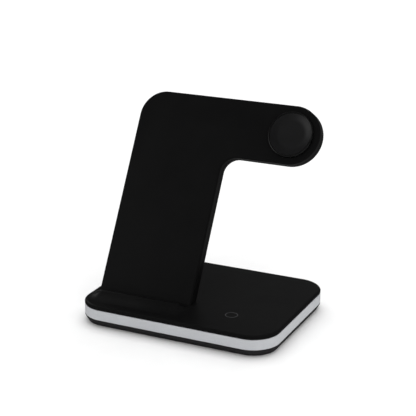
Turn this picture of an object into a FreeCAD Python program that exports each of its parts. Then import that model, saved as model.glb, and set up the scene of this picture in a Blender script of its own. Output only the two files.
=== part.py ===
import FreeCAD, Part
import math
import os
from FreeCAD import Placement, Rotation, Vector

# A desk charging station: a slab base with a light band round its edge, a plate that leans back out of
# the base above a low ledge, an arm with a round charging puck, and a flat charging place on the deck.
# Frame: origin under the middle of the base, +X right, +Y to the back, +Z up, millimetres.

# Base: overall sizes and the heights of its seams
base_length = 138.6
base_depth = 104.8
base_height = 14.4
base_corner = 18.5
foot_lift = 0.4
tray_seam_height = 4.9
cover_seam_height = 11.8
tray_taper = 2.2
floor_wall = 1.8
cover_wall = 2.0
seam_step = 0.4
seam_recess = 0.6
fit_gap = 0.1

# Softened edges of the shells, each turned over in equal steps
edge_steps = 2
cover_edge_width = 1.6
cover_edge_drop = 1.3
front_edge_round = 1.0
rear_edge_round = 1.4

# Light band and the lamps behind it
band_wall = 3.0
rim_wall = 1.3
rim_rise = 1.3
lamp_channel = 1.6
lamp_rib_wall = 1.2
lamp_rib_drop = 1.6
strip_thickness = 0.3
strip_height = 4.6
strip_end_gap = 1.0
lamp_length = 2.8
lamp_height = 1.9
lamp_depth = 0.8
lamp_pitch = 18.0
lamps_per_long_side = 5
lamps_per_short_side = 4

# Feet, and the hooks that hold the cover to the tray
foot_inset = 13.0
foot_radius = 5.5
hook_width = 6.0
hook_wall = 1.3
hook_gap = 0.15
hook_spread = 76.0
side_hook_y = 14.0
catch_height = 2.0
catch_depth = 0.7
catch_rise = 2.4

# Stand: the leaning plate and its arm, measured up the lean from the base's top
lean_angle = 29.3
stand_setback = 27.7
stand_margin = 3.3
stand_width = 68.0
stand_rise = 141.7
stand_thickness = 8.6
front_shell_depth = 4.2
stand_wall = 1.8
stand_corner = 18.0
arm_height = 39.7
arm_reach = 44.4
arm_fillet = 10.5
lip_wall = 1.0
lip_height = 1.2
stiffener_height = 0.9
stiffener_wall = 1.2
stiffener_pitch = 24.0

# The stand's foot, which plugs into a socket under the cover
plug_length = 52.0
plug_depth = 6.6
plug_drop = 6.8
plug_block_rise = 9.0
plug_catch_rise = 0.8
plug_catch_width = 4.0
socket_wall = 1.6
socket_floor = 1.8
channel_width = 12.0
channel_depth = 4.2

# Ledge on the cover in front of the plate
ledge_height = 3.6
ledge_crest_radius = 4.0
ledge_run = 12.3
ledge_foot_angle = 5.0
ledge_left_radius = 5.0
ledge_right_radius = 15.0
ledge_overrun = 2.0
ledge_corner = 10.0

# Charging coil inside the plate
plate_coil_outer = 22.0
plate_coil_inner = 10.0
plate_coil_thickness = 1.1
plate_coil_rise = 78.0
plate_shield_border = 2.0
plate_shield_thickness = 0.8
carrier_border = 2.5
carrier_thickness = 1.2
pad_side = 5.0
pad_inset = 4.0

# Round charging puck in the arm
puck_radius = 15.4
puck_proud = 2.2
puck_edge_bevel = 0.7
puck_wall = 1.1
puck_floor = 1.0
dish_drop = 0.2
dish_depth = 1.2
dish_flat_radius = 10.5
dish_thickness = 1.1
puck_shield_thickness = 1.1
puck_coil_thickness = 1.2
puck_coil_inner = 6.0
puck_coil_border = 1.9
puck_shield_sides = 8
magnet_radius = 4.8

# Deck coil and touch key under the cover
deck_coil_inset = 33.6
deck_coil_setback = 35.4
deck_coil_outer = 16.0
deck_coil_inner = 7.5
deck_coil_thickness = 1.2
deck_shield_thickness = 0.8
touch_side = 10.0
touch_thickness = 0.3
touch_inset_x = 36.9
touch_inset_y = 26.1

# Main board and what stands on it
board_thickness = 1.2
board_length = 62.0
board_depth = 45.0
board_inset = 57.3
board_setback = 9.8
nose_width = 13.0
nose_setback = 3.4
pillar_side = 4.0
pillar_inset = 3.0
clip_gap = 0.15
clip_wall = 1.4
clip_width = 7.0
clip_row = 31.0
clip_nib = 0.8
wire_socket_length = 5.0
wire_socket_depth = 4.4
wire_socket_height = 3.6
wire_socket_setback = 0.6
touch_socket_row = 8.0
chip_side = 6.0
chip_height = 0.9
chip_row = 16.0
choke_side = 6.6
choke_height = 3.0
choke_bevel = 1.0
choke_row = 27.0
capacitor_length = 3.2
capacitor_width = 2.5
capacitor_height = 1.8
capacitor_pitch = 3.4
capacitor_row = 36.0
capacitors_per_row = 4
circuit_pitch = 17.0

# Power inlet at the back
inlet_width = 8.94
inlet_height = 3.26
inlet_wall = 0.3
inlet_length = 7.35
inlet_recess = 0.6
inlet_back = 1.5
contact_plate_width = 6.7
contact_plate_thickness = 0.7
contact_plate_setback = 1.0
bezel_wall = 1.1
bezel_recess = 0.25
bezel_gap = 0.15
inlet_door_margin = 2.5

# Leads
lead_width = 1.2
lead_bend = 1.3
lead_floor_gap = 0.9
lead_gap = 0.1

# Heights and insets that follow
tray_rim_top = tray_seam_height - seam_step
cover_rim_low = cover_seam_height + seam_step
floor_top = foot_lift + floor_wall
cover_under = base_height - cover_wall
rim_outer = band_wall + fit_gap
rim_inner = rim_outer + rim_wall
lamp_rib_outer = rim_inner + lamp_channel
lamp_rib_inner = lamp_rib_outer + lamp_rib_wall
lamp_rib_top = cover_under - lamp_rib_drop
band_middle = (tray_seam_height + cover_seam_height) / 2
catch_low = floor_top + catch_rise
catch_top = catch_low + catch_height

# Places that follow
right_x = base_length / 2
back_y = base_depth / 2
straight_x = right_x - base_corner
straight_y = back_y - base_corner
lean = math.radians(lean_angle)
stand_left = stand_margin - right_x
stand_right = stand_left + stand_width
stand_middle = (stand_left + stand_right) / 2
stand_y = stand_setback - back_y
inner_front = -stand_wall
inner_rear = stand_wall - stand_thickness
split = -front_shell_depth
lip_outer = stand_wall + fit_gap
lip_inner = lip_outer + lip_wall
arm_radius = arm_height / 2
puck_x = stand_right + arm_reach
puck_rise = stand_rise - arm_radius
plug_y = stand_y + stand_thickness / math.cos(lean) / 2
plug_bottom = base_height - plug_drop
socket_bottom = plug_bottom - socket_floor
plug_catch_low = plug_bottom + plug_catch_rise
plug_catch_top = plug_catch_low + catch_height
lead_xs = [stand_middle - channel_width / 4, stand_middle + channel_width / 4]
plate_shield_side = 2 * (plate_coil_outer + plate_shield_border)
carrier_side = plate_shield_side + 2 * carrier_border
carrier_front = inner_front - plate_coil_thickness - plate_shield_thickness
carrier_rear = carrier_front - carrier_thickness
dish_radius = puck_radius - puck_wall
dish_top = puck_proud - dish_drop
dish_bottom = dish_top - dish_depth - dish_thickness
puck_floor_top = inner_rear + puck_floor
puck_shield_top = puck_floor_top + puck_shield_thickness
deck_coil_x = right_x - deck_coil_inset
deck_coil_y = back_y - deck_coil_setback
touch_x = right_x - touch_inset_x
touch_y = touch_inset_y - back_y
board_top = band_middle - inlet_height / 2
board_bottom = board_top - board_thickness
board_back = back_y - board_setback
board_right = right_x - board_inset
board_front = board_back - board_depth
board_left = board_right - board_length
board_middle_x = (board_left + board_right) / 2
circuit_xs = [board_middle_x + circuit_pitch * k for k in (-1, 0, 1)]
socket_front = board_front + wire_socket_setback
side_socket_x = board_right - wire_socket_setback - wire_socket_depth / 2
touch_socket_y = board_front + touch_socket_row
inlet_front = back_y - inlet_recess
inlet_rear = inlet_front - inlet_length
bezel_width = inlet_width + 2 * (bezel_gap + bezel_wall)
bezel_height = inlet_height + 2 * (bezel_gap + bezel_wall)
inlet_door = bezel_width / 2 + inlet_door_margin
lead_high = board_top + wire_socket_height / 2
lead_low = floor_top + lead_floor_gap + lead_width / 2
lead_depth = -stand_thickness / 2


# Plain shapes
def box(x0, x1, y0, y1, z0, z1):
    return Part.makeBox(x1 - x0, y1 - y0, z1 - z0, Vector(x0, y0, z0))


def centred_box(x, y, length, depth, z0, z1):
    return box(x - length / 2, x + length / 2, y - depth / 2, y + depth / 2, z0, z1)


def rod(x, y, radius, z0, z1):
    return Part.makeCylinder(radius, z1 - z0, Vector(x, y, z0))


def ring(x, y, outer, inner, z0, z1):
    return rod(x, y, outer, z0, z1).cut(rod(x, y, inner, z0, z1))


def line(a, b):
    return Part.LineSegment(a, b).toShape()


def arc(a, b, c):
    return Part.Arc(a, b, c).toShape()


def polygon_face(points):
    return Part.Face(Part.makePolygon(points + points[:1]))


def turned(points):
    # A solid of revolution about Z from its (radius, height) corners
    return polygon_face([Vector(r, 0, z) for r, z in points]).revolve(Vector(), Vector(0, 0, 1), 360)


def join(shapes):
    return shapes[0].fuse(shapes[1:]).removeSplitter()


def softened(outline, start, end, width, drop):
    # A slab from one height to another whose far edge turns over, wider or deeper as asked
    way = math.copysign(1.0, end - start)
    wires = [outline(0.0, start)]
    for k in range(edge_steps + 1):
        turn = math.pi / 2 * k / edge_steps
        wires.append(outline(width * (1 - math.cos(turn)), end - way * drop * (1 - math.sin(turn))))
    return Part.makeLoft(wires, True, True)


# Outlines of the base
def round_corner_wire(length, depth, corner, z):
    # A rectangle with rounded corners, one arc and one straight side at a time
    arcs = []
    for quarter, (sx, sy) in enumerate([(1, -1), (1, 1), (-1, 1), (-1, -1)]):
        centre = Vector(sx * (length / 2 - corner), sy * (depth / 2 - corner), z)
        turns = [math.radians(90 * (quarter - 1) + step) for step in (0, 45, 90)]
        arcs.append([centre + Vector(math.cos(t), math.sin(t), 0) * corner for t in turns])
    edges = []
    for here, following in zip(arcs, arcs[1:] + arcs[:1]):
        edges.append(arc(*here))
        edges.append(line(here[2], following[0]))
    return Part.Wire(edges)


def base_wire(inset, z):
    return round_corner_wire(base_length - 2 * inset, base_depth - 2 * inset, base_corner - inset, z)


def base_slab(inset, z0, z1):
    return Part.Face(base_wire(inset, z0)).extrude(Vector(0, 0, z1 - z0))


def side_walls(outer, inner, z0, z1, shorter=0.0):
    # Four straight walls just inside the base's straight sides, open where the inlet stands
    reach_x = straight_x - shorter
    reach_y = straight_y - shorter
    return [
        box(-reach_x, reach_x, outer - back_y, inner - back_y, z0, z1),
        box(outer - right_x, inner - right_x, -reach_y, reach_y, z0, z1),
        box(right_x - inner, right_x - outer, -reach_y, reach_y, z0, z1),
        box(-reach_x, -inlet_door, back_y - inner, back_y - outer, z0, z1),
        box(inlet_door, reach_x, back_y - inner, back_y - outer, z0, z1),
    ]


def inlet_slot(width, height, y0, y1):
    # A slot with round ends, running along Y at the inlet's height
    half = width / 2 - height / 2
    low = band_middle - height / 2
    high = band_middle + height / 2
    outline = Part.Wire([
        line(Vector(-half, y0, low), Vector(half, y0, low)),
        arc(Vector(half, y0, low), Vector(width / 2, y0, band_middle), Vector(half, y0, high)),
        line(Vector(half, y0, high), Vector(-half, y0, high)),
        arc(Vector(-half, y0, high), Vector(-width / 2, y0, band_middle), Vector(-half, y0, low)),
    ])
    return Part.Face(outline).extrude(Vector(0, y1 - y0, 0))


# The stand is drawn flat, front face at height 0 and foot line at y = 0, then leaned into place
stand_place = Placement(Vector(0, stand_y, base_height), Rotation(Vector(1, 0, 0), 90 - lean_angle))
stand_normal = stand_place.Rotation.multVec(Vector(0, 0, 1))


def leaned(shape):
    shape.Placement = stand_place.multiply(shape.Placement)
    return shape


def lean_point(x, rise, depth):
    return stand_place.multVec(Vector(x, rise, depth))


def stand_wire(inset, z):
    # The plate with its arm to the right; the foot runs on below the base's top and is cut off there
    half = math.sqrt(0.5)
    left = stand_left + inset
    right = stand_right - inset
    top = stand_rise - inset
    low = stand_rise - arm_height + inset
    corner = stand_corner - inset
    fillet = arm_fillet + inset
    corner_centre = Vector(left + corner, top - corner, z)
    fillet_centre = Vector(right + fillet, low - fillet, z)
    end_top = Vector(puck_x, top, z)
    end_low = Vector(puck_x, low, z)
    end_side = Vector(puck_x + arm_radius - inset, puck_rise, z)
    fillet_top = fillet_centre + Vector(0, fillet, 0)
    fillet_side = fillet_centre + Vector(-fillet, 0, 0)
    corner_side = corner_centre + Vector(-corner, 0, 0)
    corner_top = corner_centre + Vector(0, corner, 0)
    foot_right = Vector(right, -stand_thickness, z)
    foot_left = Vector(left, -stand_thickness, z)
    return Part.Wire([
        line(corner_top, end_top),
        arc(end_top, end_side, end_low),
        line(end_low, fillet_top),
        arc(fillet_top, fillet_centre + Vector(-half, half, 0) * fillet, fillet_side),
        line(fillet_side, foot_right),
        line(foot_right, foot_left),
        line(foot_left, corner_side),
        arc(corner_side, corner_centre + Vector(-half, half, 0) * corner, corner_top),
    ])


def stand_slab(inset, z0, z1):
    return Part.Face(stand_wire(inset, z0)).extrude(Vector(0, 0, z1 - z0))


def above_base(shape):
    reach = base_length + stand_rise
    return shape.cut(box(-reach, reach, -reach, reach, base_height - reach, base_height))


# Base shells
def hook_side(places, half):
    # Hooks for the front side, drawn at half the base's size from its middle
    outer = lamp_rib_inner + hook_gap - half
    inner = outer + hook_wall
    tip = outer - hook_gap - catch_depth
    profile = [(inner, cover_under), (inner, catch_low), (outer, catch_low), (tip, catch_low + catch_depth),
               (tip, catch_top), (outer, catch_top), (outer, cover_under)]
    hooks = []
    for place in places:
        face = polygon_face([Vector(place - hook_width / 2, y, z) for y, z in profile])
        hooks.append(face.extrude(Vector(hook_width, 0, 0)))
    return hooks


def window_side(places, half):
    # The windows in the lamp rib that those hooks catch in
    outer = lamp_rib_outer - half
    width = hook_width + 2 * hook_gap
    return [centred_box(place, outer + lamp_rib_wall / 2, width, lamp_rib_wall, catch_low - hook_gap,
                        catch_top + hook_gap) for place in places]


def on_four_sides(make):
    # Front and back take two each, left and right one each, level with each other
    pair = [-hook_spread / 2, hook_spread / 2]
    sides = [(pair, back_y), ([side_hook_y], right_x), (pair, back_y), ([-side_hook_y], right_x)]
    made = []
    for turn, (places, half) in zip((0, 90, 180, 270), sides):
        for shape in make(places, half):
            shape.rotate(Vector(), Vector(0, 0, 1), turn)
            made.append(shape)
    return made


def board_clips():
    clips = []
    y = board_front + clip_row
    for edge, sign in ((board_left, -1), (board_right, 1)):
        outer = edge + sign * (clip_gap + clip_wall)
        near, far = sorted((edge + sign * clip_gap, outer))
        clips.append(box(near, far, y - clip_width / 2, y + clip_width / 2, floor_top, board_top + clip_nib))
        near, far = sorted((edge - sign * clip_nib, outer))
        clips.append(box(near, far, y - clip_width / 2, y + clip_width / 2, board_top, board_top + clip_nib))
    return clips


def board_pillars():
    pillars = []
    for x in (board_left + pillar_inset, board_right - pillar_inset):
        for y in (board_front + pillar_inset, board_back - pillar_inset):
            pillars.append(centred_box(x, y, pillar_side, pillar_side, floor_top, board_bottom))
    return pillars


def bottom_tray():
    body = Part.makeLoft([base_wire(tray_taper, foot_lift), base_wire(0.0, tray_rim_top)], True, True)
    body = join([body, base_slab(seam_recess, tray_rim_top, tray_seam_height)])
    body = body.cut(base_slab(rim_inner, floor_top, tray_seam_height))
    rims = side_walls(rim_outer, rim_inner, floor_top, tray_seam_height + rim_rise)
    lamp_ribs = side_walls(lamp_rib_outer, lamp_rib_inner, floor_top, lamp_rib_top)
    body = join([body] + rims + lamp_ribs + board_clips() + board_pillars())
    return body.cut(on_four_sides(window_side))


def light_band():
    body = base_slab(0.0, tray_seam_height, cover_seam_height)
    body = body.cut(base_slab(band_wall, tray_seam_height, cover_seam_height))
    door = inlet_slot(bezel_width + 2 * fit_gap, bezel_height + 2 * fit_gap, back_y - band_wall, back_y)
    return body.cut(door)


def front_ledge():
    # A seat square to the plate, a round crest and a long hollow front, with rounded ends
    crest_z = base_height + ledge_height - ledge_crest_radius
    seat = (ledge_height - ledge_crest_radius * (1 - math.cos(lean))) / math.sin(lean)
    crest_y = stand_y - seat * math.cos(lean) - ledge_crest_radius * math.sin(lean)
    foot_y = crest_y - ledge_run
    foot_turn = math.radians(ledge_foot_angle)
    below = base_height - cover_wall / 2
    rise = base_height - crest_z
    reach = ledge_run ** 2 + rise ** 2 - ledge_crest_radius ** 2
    hollow = reach / 2 / (ledge_crest_radius - ledge_run * math.sin(foot_turn) - rise * math.cos(foot_turn))
    hollow_y = foot_y - hollow * math.sin(foot_turn)
    hollow_z = base_height + hollow * math.cos(foot_turn)
    meet_turn = math.atan2(crest_y - hollow_y, hollow_z - crest_z)

    def on_crest(turn):
        return Vector(stand_left, crest_y - ledge_crest_radius * math.sin(turn),
                      crest_z + ledge_crest_radius * math.cos(turn))

    def on_hollow(turn):
        return Vector(stand_left, hollow_y + hollow * math.sin(turn), hollow_z - hollow * math.cos(turn))

    heel = Vector(stand_left, stand_y, base_height)
    heel_low = Vector(stand_left, stand_y, below)
    foot = on_hollow(foot_turn)
    foot_low = Vector(stand_left, foot_y, below)
    profile = Part.Wire([
        line(heel, on_crest(-lean)),
        arc(on_crest(-lean), on_crest((meet_turn - lean) / 2), on_crest(meet_turn)),
        arc(on_crest(meet_turn), on_hollow((meet_turn + foot_turn) / 2), foot),
        line(foot, foot_low),
        line(foot_low, heel_low),
        line(heel_low, heel),
    ])
    ledge_right = stand_right + ledge_overrun
    along = Part.Face(profile).extrude(Vector(ledge_right - stand_left, 0, 0))

    def end_arc(x, sign, radius):
        # From the deck up to the crest's height, with the end at x
        turn = math.acos(1 - ledge_height / radius)
        middle = Vector(x - sign * radius * math.sin(turn), -back_y, base_height + ledge_height - radius)
        return [middle + Vector(sign * math.sin(t), 0, math.cos(t)) * radius for t in (turn, turn / 2, 0)]

    left_end = end_arc(stand_left, -1, ledge_left_radius)
    right_end = end_arc(ledge_right, 1, ledge_right_radius)
    left_low = Vector(stand_left, -back_y, below)
    right_low = Vector(ledge_right, -back_y, below)
    side_profile = Part.Wire([
        line(left_low, left_end[0]),
        arc(*left_end),
        line(left_end[2], right_end[2]),
        arc(*reversed(right_end)),
        line(right_end[0], right_low),
        line(right_low, left_low),
    ])
    across = Part.Face(side_profile).extrude(Vector(0, base_depth, 0))
    plan = box(stand_left, ledge_right, foot_y, stand_y, below, base_height + ledge_height)
    front_uprights = [e for e in plan.Edges if e.BoundBox.XLength + e.BoundBox.YLength < fit_gap
                      and e.BoundBox.YMax < crest_y]
    plan = plan.makeFillet(ledge_corner, front_uprights)
    edge = base_slab(cover_edge_width, below, base_height + ledge_height)
    return along.common(across).common(plan).common(edge)


def top_cover():
    body = softened(base_wire, cover_rim_low, base_height, cover_edge_width, cover_edge_drop)
    body = join([body, base_slab(seam_recess, cover_seam_height, cover_rim_low), front_ledge()])
    body = body.cut(base_slab(rim_outer, cover_seam_height, cover_under))
    skirts = side_walls(rim_outer, rim_inner, cover_seam_height - rim_rise, cover_under)
    hole_length = plug_length + 2 * fit_gap
    hole_depth = plug_depth + 2 * fit_gap
    outer_length = hole_length + 2 * socket_wall
    outer_depth = hole_depth + 2 * socket_wall
    socket = centred_box(stand_middle, plug_y, outer_length, outer_depth, socket_bottom, cover_under)
    body = join([body, socket] + skirts + on_four_sides(hook_side))
    return body.cut([
        centred_box(stand_middle, plug_y, hole_length, hole_depth, plug_bottom, base_height),
        centred_box(stand_middle, plug_y, channel_width, channel_depth, socket_bottom, plug_bottom),
        centred_box(stand_middle, plug_y, outer_length, plug_catch_width + 2 * hook_gap,
                    plug_catch_low - hook_gap, plug_catch_top + hook_gap),
    ])


# Stand shells
def stand_front_shell():
    body = softened(stand_wire, split, 0.0, front_edge_round, front_edge_round)
    body = join([body, stand_slab(lip_outer, split - lip_height, split)])
    body = body.cut(stand_slab(lip_inner, split - lip_height, inner_front))
    body = body.cut(rod(puck_x, puck_rise, puck_radius + fit_gap, split, 0.0))
    return above_base(leaned(body))


def plug():
    # Fills the foot of the plate between the two shells and runs down into the cover's socket
    block = stand_slab(lip_inner + fit_gap, inner_rear, inner_front - fit_gap)
    block = block.common(box(stand_left, stand_right, -stand_thickness, plug_block_rise, inner_rear, 0.0))
    block = above_base(leaned(block))
    tenon = centred_box(stand_middle, plug_y, plug_length, plug_depth, plug_bottom, base_height)
    channel_left = stand_middle - channel_width / 2
    upper = box(channel_left, channel_left + channel_width, -stand_thickness, plug_block_rise,
                lead_depth - channel_depth / 2, lead_depth + channel_depth / 2)
    channel_top = base_height + channel_depth / 2
    lower = centred_box(stand_middle, plug_y, channel_width, channel_depth, plug_bottom, channel_top)
    return join([block, tenon] + plug_catches()).cut([leaned(upper), lower])


def plug_catches():
    # Wedges on the plug's two ends that click into the windows of its socket
    catches = []
    for sign in (-1, 1):
        end = stand_middle + sign * plug_length / 2
        tip = end + sign * (fit_gap + catch_depth)
        profile = [(end, plug_catch_low), (tip, plug_catch_low + catch_depth), (tip, plug_catch_top),
                   (end, plug_catch_top)]
        face = polygon_face([Vector(x, plug_y - plug_catch_width / 2, z) for x, z in profile])
        catches.append(face.extrude(Vector(0, plug_catch_width, 0)))
    return catches


def stand_rear_shell():
    body = softened(stand_wire, split, -stand_thickness, rear_edge_round, rear_edge_round)
    body = body.cut(stand_slab(stand_wall, inner_rear, split))
    rib_top = inner_rear + stiffener_height
    room = stand_slab(stand_wall, inner_rear, rib_top)
    bars = [centred_box(stand_middle, k * stiffener_pitch, stand_width, stiffener_wall, inner_rear, rib_top)
            for k in range(1, int(stand_rise // stiffener_pitch) + 1)]
    bars.append(box(stand_middle, puck_x - puck_radius - fit_gap, puck_rise - stiffener_wall / 2,
                    puck_rise + stiffener_wall / 2, inner_rear, rib_top))
    ribs = [bar.common(room) for bar in bars]
    reach = carrier_side / 2 - pad_inset
    pads = [centred_box(stand_middle + sx * reach, plate_coil_rise + sy * reach, pad_side, pad_side,
                        inner_rear, carrier_rear) for sx in (-1, 1) for sy in (-1, 1)]
    return join([above_base(leaned(join([body] + ribs + pads))), plug()])


# Charging coil in the plate
def plate_coil():
    low = inner_front - plate_coil_thickness
    return leaned(ring(stand_middle, plate_coil_rise, plate_coil_outer, plate_coil_inner, low, inner_front))


def plate_shield():
    return leaned(centred_box(stand_middle, plate_coil_rise, plate_shield_side, plate_shield_side,
                              carrier_front, carrier_front + plate_shield_thickness))


def coil_carrier():
    return leaned(centred_box(stand_middle, plate_coil_rise, carrier_side, carrier_side,
                              carrier_rear, carrier_front))


# Charging puck in the arm
def in_arm(shape):
    shape.translate(Vector(puck_x, puck_rise, 0))
    return leaned(shape)


def puck_cup():
    return in_arm(turned([
        (0, inner_rear), (puck_radius, inner_rear), (puck_radius, puck_proud - puck_edge_bevel),
        (puck_radius - puck_edge_bevel, puck_proud), (dish_radius, puck_proud), (dish_radius, puck_floor_top),
        (0, puck_floor_top),
    ]))


def puck_dish():
    radius = dish_radius - fit_gap
    return in_arm(turned([
        (0, dish_bottom), (radius, dish_bottom), (radius, dish_top),
        (dish_flat_radius, dish_top - dish_depth), (0, dish_top - dish_depth),
    ]))


def puck_shield():
    turns = [2 * math.pi * k / puck_shield_sides for k in range(puck_shield_sides)]
    corners = [Vector(math.cos(t), math.sin(t), 0) * (dish_radius - fit_gap) for t in turns]
    sheet = polygon_face(corners).extrude(Vector(0, 0, puck_shield_thickness))
    sheet.translate(Vector(0, 0, puck_floor_top))
    return in_arm(sheet)


def puck_coil():
    outer = dish_radius - fit_gap - puck_coil_border
    return in_arm(ring(0, 0, outer, puck_coil_inner, puck_shield_top, puck_shield_top + puck_coil_thickness))


def puck_magnet():
    return in_arm(rod(0, 0, magnet_radius, puck_shield_top, dish_bottom))


# Under the base and behind the band
def rubber_feet():
    x = right_x - foot_inset
    y = back_y - foot_inset
    corners = [(sx * x, sy * y) for sx in (-1, 1) for sy in (-1, 1)]
    return Part.Compound([rod(cx, cy, foot_radius, 0.0, foot_lift) for cx, cy in corners])


def lamp_strips():
    low = band_middle - strip_height / 2
    return Part.Compound(side_walls(lamp_rib_outer - strip_thickness, lamp_rib_outer, low, low + strip_height,
                                    strip_end_gap))


def spread(count):
    return [(k - (count - 1) / 2) * lamp_pitch for k in range(count)]


def lamps():
    inset = lamp_rib_outer - strip_thickness - lamp_depth / 2
    low = band_middle - lamp_height / 2
    high = low + lamp_height
    made = []
    for sign in (-1, 1):
        for x in spread(lamps_per_long_side):
            if sign < 0 or abs(x) > inlet_door + lamp_length:
                made.append(centred_box(x, sign * (back_y - inset), lamp_length, lamp_depth, low, high))
        for y in spread(lamps_per_short_side):
            made.append(centred_box(sign * (right_x - inset), y, lamp_depth, lamp_length, low, high))
    return Part.Compound(made)


# Main board
def main_board():
    plate = box(board_left, board_right, board_front, board_back, board_bottom, board_top)
    nose = box(-nose_width / 2, nose_width / 2, board_back, back_y - nose_setback, board_bottom, board_top)
    return join([plate, nose])


def on_board(x, y, length, depth, height):
    return centred_box(x, y, length, depth, board_top, board_top + height)


def driver_chips():
    y = board_front + chip_row
    return Part.Compound([on_board(x, y, chip_side, chip_side, chip_height) for x in circuit_xs])


def power_chokes():
    chokes = []
    for x in circuit_xs:
        choke = on_board(x, board_front + choke_row, choke_side, choke_side, choke_height)
        uprights = [e for e in choke.Edges if e.BoundBox.ZLength > choke_height / 2]
        chokes.append(choke.makeChamfer(choke_bevel, uprights))
    return Part.Compound(chokes)


def tank_capacitors():
    middle = (capacitors_per_row - 1) / 2
    y = board_front + capacitor_row
    return Part.Compound([on_board(x + (k - middle) * capacitor_pitch, y, capacitor_width, capacitor_length,
                                   capacitor_height) for x in circuit_xs for k in range(capacitors_per_row)])


def wire_sockets():
    y = socket_front + wire_socket_depth / 2
    front = [on_board(x, y, wire_socket_length, wire_socket_depth, wire_socket_height) for x in lead_xs]
    side = [on_board(side_socket_x, y, wire_socket_depth, wire_socket_length, wire_socket_height)
            for y in (touch_socket_y, deck_coil_y)]
    return Part.Compound(front + side)


# Power inlet
def inlet_inside(y0, y1):
    return inlet_slot(inlet_width - 2 * inlet_wall, inlet_height - 2 * inlet_wall, y0, y1)


def inlet_shell():
    outside = inlet_slot(inlet_width, inlet_height, inlet_rear, inlet_front)
    return outside.cut(inlet_inside(inlet_rear, inlet_front))


def inlet_core():
    low = band_middle - contact_plate_thickness / 2
    half = contact_plate_width / 2
    plate_end = inlet_front - contact_plate_setback
    plate = box(-half, half, inlet_rear, plate_end, low, low + contact_plate_thickness)
    return join([inlet_inside(inlet_rear, inlet_rear + inlet_back), plate])


def inlet_bezel():
    y0 = back_y - band_wall
    y1 = back_y - bezel_recess
    hole = inlet_slot(inlet_width + 2 * bezel_gap, inlet_height + 2 * bezel_gap, y0, y1)
    return inlet_slot(bezel_width, bezel_height, y0, y1).cut(hole)


# Deck coil and touch key
def deck_coil():
    low = cover_under - deck_coil_thickness
    return ring(deck_coil_x, deck_coil_y, deck_coil_outer, deck_coil_inner, low, cover_under)


def deck_shield():
    top = cover_under - deck_coil_thickness
    return centred_box(deck_coil_x, deck_coil_y, 2 * deck_coil_outer, 2 * deck_coil_outer,
                       top - deck_shield_thickness, top)


def touch_pad():
    return centred_box(touch_x, touch_y, touch_side, touch_side, cover_under - touch_thickness, cover_under)


# Leads
def lead(points, side):
    # A slim square lead along straight runs joined by tangent arcs; side is square to its first run
    edges = []
    start = points[0]
    for before, corner, after in zip(points, points[1:], points[2:]):
        arriving = (corner - before).normalize()
        leaving = (after - corner).normalize()
        half_turn = arriving.getAngle(leaving) / 2
        setback = lead_bend * math.tan(half_turn)
        inward = (leaving - arriving).normalize()
        middle = corner + inward * (lead_bend / math.cos(half_turn) - lead_bend)
        edges.append(line(start, corner - arriving * setback))
        edges.append(arc(corner - arriving * setback, middle, corner + leaving * setback))
        start = corner + leaving * setback
    edges.append(line(start, points[-1]))
    one = side * (lead_width / 2)
    two = side.cross((points[1] - points[0]).normalize()) * (lead_width / 2)
    corners = [points[0] + one + two, points[0] - one + two, points[0] - one - two, points[0] + one - two]
    return Part.Wire(edges).makePipeShell([Part.makePolygon(corners + corners[:1])], True, False)


def run_to_board(x):
    # From the stand's slope down through the plug, along the tray and up into a socket on the board
    slope = lean_point(x, 0.0, lead_depth)
    rise_y = board_front - lead_width / 2 - lead_floor_gap
    return [
        Vector(x, plug_y, slope.z - (slope.y - plug_y) / math.tan(lean)),
        Vector(x, plug_y, lead_low),
        Vector(x, rise_y, lead_low),
        Vector(x, rise_y, lead_high),
        Vector(x, socket_front - lead_gap, lead_high),
    ]


def plate_lead():
    start = lean_point(lead_xs[0], plate_coil_rise - carrier_side / 2 - lead_gap, lead_depth)
    return lead([start] + run_to_board(lead_xs[0]), stand_normal)


def puck_lead():
    down_x = (stand_middle + carrier_side / 2 + stand_right - lip_inner) / 2
    across = (plate_coil_rise - carrier_side / 2 + plug_block_rise) / 2
    return lead([
        lean_point(puck_x - puck_radius - lead_gap, puck_rise, lead_depth),
        lean_point(down_x, puck_rise, lead_depth),
        lean_point(down_x, across, lead_depth),
        lean_point(lead_xs[1], across, lead_depth),
    ] + run_to_board(lead_xs[1]), stand_normal)


def deck_lead():
    high = cover_under - lead_width / 2 - lead_gap
    start = deck_coil_x - deck_coil_outer - lead_gap
    end = side_socket_x + wire_socket_depth / 2 + lead_gap
    middle = (start + end) / 2
    return lead([
        Vector(start, deck_coil_y, high),
        Vector(middle, deck_coil_y, high),
        Vector(middle, deck_coil_y, lead_high),
        Vector(end, deck_coil_y, lead_high),
    ], Vector(0, 1, 0))


def touch_lead():
    return lead([
        Vector(touch_x, touch_y, cover_under - touch_thickness),
        Vector(touch_x, touch_y, lead_high),
        Vector(touch_x, touch_socket_y, lead_high),
        Vector(side_socket_x + wire_socket_depth / 2 + lead_gap, touch_socket_y, lead_high),
    ], Vector(0, 1, 0))


pieces = [
    bottom_tray, light_band, top_cover, rubber_feet,
    stand_front_shell, stand_rear_shell,
    plate_coil, plate_shield, coil_carrier,
    puck_cup, puck_dish, puck_shield, puck_coil, puck_magnet,
    deck_coil, deck_shield, touch_pad, lamp_strips, lamps,
    main_board, driver_chips, power_chokes, tank_capacitors, wire_sockets,
    inlet_shell, inlet_core, inlet_bezel,
    plate_lead, puck_lead, deck_lead, touch_lead,
]

os.makedirs("parts", exist_ok=True)
for piece in pieces:
    shape = piece()
    shape.exportStep("parts/" + piece.__name__ + ".step")
    print(piece.__name__, len(shape.Solids), "solids", round(shape.Volume, 1), "mm3 valid", shape.isValid())
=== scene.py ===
import math
import bmesh
import bpy
from mathutils import Matrix, Vector


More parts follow.
